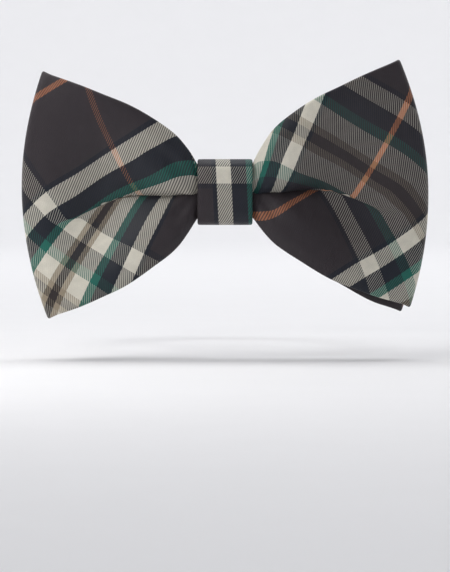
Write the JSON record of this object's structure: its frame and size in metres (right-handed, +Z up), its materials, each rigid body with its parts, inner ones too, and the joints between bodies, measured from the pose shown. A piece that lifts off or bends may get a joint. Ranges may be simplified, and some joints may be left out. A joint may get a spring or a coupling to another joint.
{
  "type": "pre-tied bow tie",
  "caption": "Pre-tied tartan bow tie: gathered front bow over a flatter rear bow, wrapped knot, adjustable neck band with slide, hook and eye.",
  "frame": {"origin": "centre of the knot's flat rear face, which lies against the shirt's top button", "axes": "+Z up, +Y from the bow towards the wearer's neck, +X to the wearer's left"},
  "size_m": [0.1249, 0.1388, 0.0758],
  "materials": {
    "tartan_twill": "fine 2/2 twill tartan with a soft sheen, dark brown with navy, green, cream and orange",
    "interlining": "matte unbleached woven interlining",
    "sewing_thread": "spun polyester sewing thread",
    "nickel_plate": "nickel plated stamped steel, lightly rubbed"
  },
  "bodies": {
    "bow_and_band": {"front_bow": "tartan_twill", "front_bow_interlining": "interlining", "rear_bow": "tartan_twill", "rear_bow_interlining": "interlining", "waist_thread": "sewing_thread", "knot_interlining": "interlining", "knot_wrap": "tartan_twill", "knot_tack": "sewing_thread", "neck_band": "tartan_twill", "neck_band_return": "tartan_twill", "eye_bar_tack": "sewing_thread"},
    "slide": {"slide_adjuster": "nickel_plate", "slide_bar_tack": "sewing_thread"},
    "hook": {"band_hook": "nickel_plate"},
    "eye": {"eye_ring": "nickel_plate"}
  },
  "joints": [
    {"name": "slide_travel", "type": "hinge", "parent": "bow_and_band", "child": "slide", "pos_m": [0, 0.0569, 0], "axis": [0, 0, 1], "range_deg": [-12, 45], "deforming": ["neck_band_return"]},
    {"name": "hook_swing", "type": "hinge", "parent": "bow_and_band", "child": "hook", "pos_m": [0.04843, 0.02125, 0], "axis": [0, 0, 1], "range_deg": [0, 60]},
    {"name": "eye_swing", "type": "hinge", "parent": "bow_and_band", "child": "eye", "pos_m": [0.03593, 0.0083, 0], "axis": [0, 0, 1], "range_deg": [0, 40]}
  ]
}
